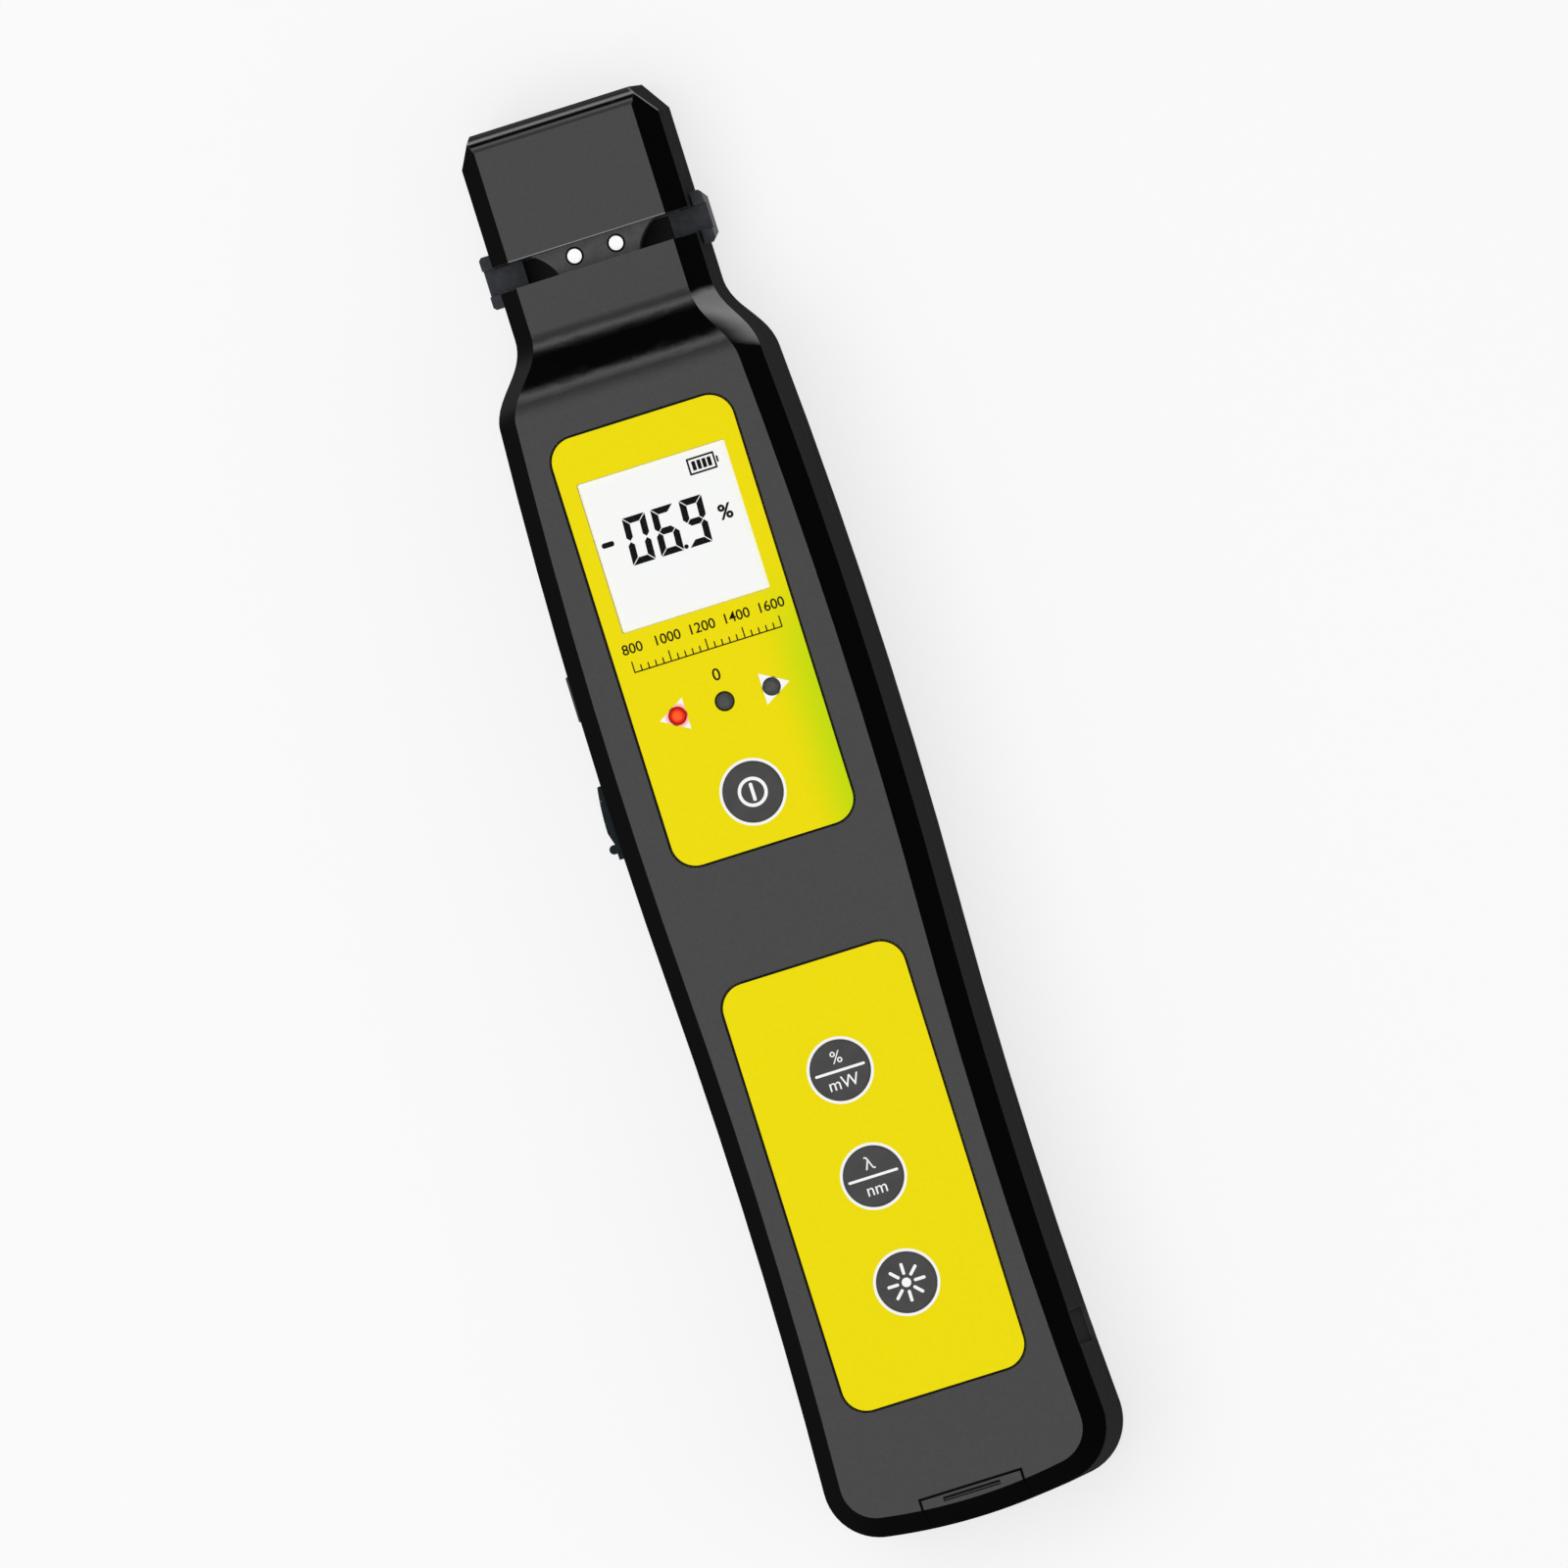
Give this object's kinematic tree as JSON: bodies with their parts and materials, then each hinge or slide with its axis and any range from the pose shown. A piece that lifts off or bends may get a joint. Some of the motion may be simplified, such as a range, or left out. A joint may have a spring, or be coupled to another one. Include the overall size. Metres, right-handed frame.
{
  "type": "optical fiber identifier",
  "caption": "Handheld fibre identifier: long black casing with yellow key panels, a display, a slotted head with a bending anvil, and a hinged port cover.",
  "frame": {"origin": "on the flat back that the instrument lies on, at mid length and mid width", "axes": "+Y along the instrument toward its head, +Z out of the front with the display, +X to the right as the display is read"},
  "size_m": [0.0497, 0.231, 0.0293],
  "materials": {
    "casing_black": "matte",
    "overlay_yellow": "satin",
    "key_grey": "matte",
    "lamp_grey": "satin",
    "lamp_red": "gloss",
    "display_white": "satin",
    "lens_clear": "gloss",
    "anvil_grey": "matte",
    "pin_white": "gloss",
    "guide_grey": "matte",
    "slider_black": "matte",
    "board_green": "satin",
    "steel": "satin",
    "brass": "satin",
    "cell_silver": "satin"
  },
  "bodies": {
    "housing": {"front_shell": "casing_black", "head_cap": "casing_black", "back_shell": "casing_black", "upper_overlay": "overlay_yellow", "lower_overlay": "overlay_yellow", "display_module": "display_white", "display_lens": "lens_clear", "lamp_left": "lamp_red", "lamp_centre": "lamp_grey", "lamp_right": "lamp_grey", "main_board": "board_green", "key_switches": "anvil_grey", "case_screws": "steel", "board_screws": "steel", "keeper_screws": "steel", "bend_block": "anvil_grey", "detector_left": "steel", "detector_right": "steel", "fiber_guide": "guide_grey", "return_spring": "steel", "bar_keeper": "steel", "cell_left": "cell_silver", "cell_right": "cell_silver", "battery_contacts": "steel", "laser_port": "brass", "laser_module": "brass", "cover_pin": "steel"},
    "clamp": {"slide_bar": "anvil_grey", "thumb_slider": "slider_black", "bend_anvil": "anvil_grey", "anvil_pins": "pin_white"},
    "power_key": {"power_key": "key_grey"},
    "unit_key": {"unit_key": "key_grey"},
    "wave_key": {"wave_key": "key_grey"},
    "laser_key": {"laser_key": "key_grey"},
    "cover": {"port_cover": "casing_black"},
    "door": {"battery_door": "casing_black"}
  },
  "joints": [
    {"name": "clamp_slide", "type": "slide", "parent": "housing", "child": "clamp", "axis": [0, 1, 0], "range_m": [0, 0.0062], "stiffness_N_per_m": 300, "springref_m": -0.004, "deforming": ["return_spring"]},
    {"name": "power_key_press", "type": "slide", "parent": "housing", "child": "power_key", "axis": [0, 0, -1], "range_m": [0, 0.0005], "stiffness_N_per_m": 1500, "springref_m": -0.0005},
    {"name": "unit_key_press", "type": "slide", "parent": "housing", "child": "unit_key", "axis": [0, 0, -1], "range_m": [0, 0.0005], "stiffness_N_per_m": 1500, "springref_m": -0.0005},
    {"name": "wave_key_press", "type": "slide", "parent": "housing", "child": "wave_key", "axis": [0, 0, -1], "range_m": [0, 0.0005], "stiffness_N_per_m": 1500, "springref_m": -0.0005},
    {"name": "laser_key_press", "type": "slide", "parent": "housing", "child": "laser_key", "axis": [0, 0, -1], "range_m": [0, 0.0005], "stiffness_N_per_m": 1500, "springref_m": -0.0005},
    {"name": "cover_hinge", "type": "hinge", "parent": "housing", "child": "cover", "pos_m": [0, -0.1131, 0.0052], "axis": [1, 0, 0], "range_deg": [0, 90]},
    {"name": "door_hinge", "type": "hinge", "parent": "housing", "child": "door", "pos_m": [0, -0.0363, 0.001], "axis": [1, 0, 0], "range_deg": [0, 70]}
  ]
}
